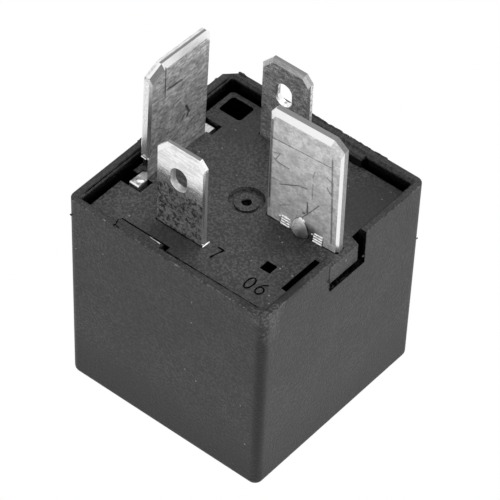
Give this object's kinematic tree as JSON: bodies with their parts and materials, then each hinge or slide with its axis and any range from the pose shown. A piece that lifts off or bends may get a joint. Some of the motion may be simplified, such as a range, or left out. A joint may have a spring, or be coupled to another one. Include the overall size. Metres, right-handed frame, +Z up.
{
  "type": "automotive relay",
  "caption": "Square plug-in power relay standing on its black cover, with wide and narrow tinned blades rising from a recessed moulded base.",
  "frame": {"origin": "middle of the cover's closed face, which the part stands on", "axes": "+Z up along the blades; +X towards the common blade and the window in the cover; +Y towards one of the two coil blades"},
  "size_m": [0.026, 0.026, 0.0392],
  "materials": {
    "cover": "matt",
    "base": "fine grain",
    "blade": "brushed tin",
    "iron": "satin",
    "spool": "matt",
    "copper": "satin",
    "contact": "satin silver",
    "spring": "bright wire"
  },
  "bodies": {
    "housing": {"cover": "cover", "base": "base", "terminal_87": "blade", "terminal_30": "blade", "coil_terminal_85": "blade", "coil_terminal_86": "blade", "yoke": "iron", "core": "iron", "bobbin": "spool", "coil_winding": "copper", "coil_lead_85": "copper", "coil_lead_86": "copper", "yoke_rivets": "copper", "fixed_contact": "contact", "return_spring": "spring", "contact_braid": "copper"},
    "armature": {"armature": "iron", "contact_spring": "copper", "armature_rivets": "copper", "moving_contact": "contact"}
  },
  "joints": [
    {"name": "armature_pull_in", "type": "hinge", "parent": "housing", "child": "armature", "pos_m": [0.0096, 0.0005, 0.00588], "axis": [0, 1, 0], "range_deg": [0, 2.8], "stiffness_Nm_per_rad": 0.01, "springref_deg": -11.46, "deforming": ["return_spring", "contact_braid"]}
  ]
}
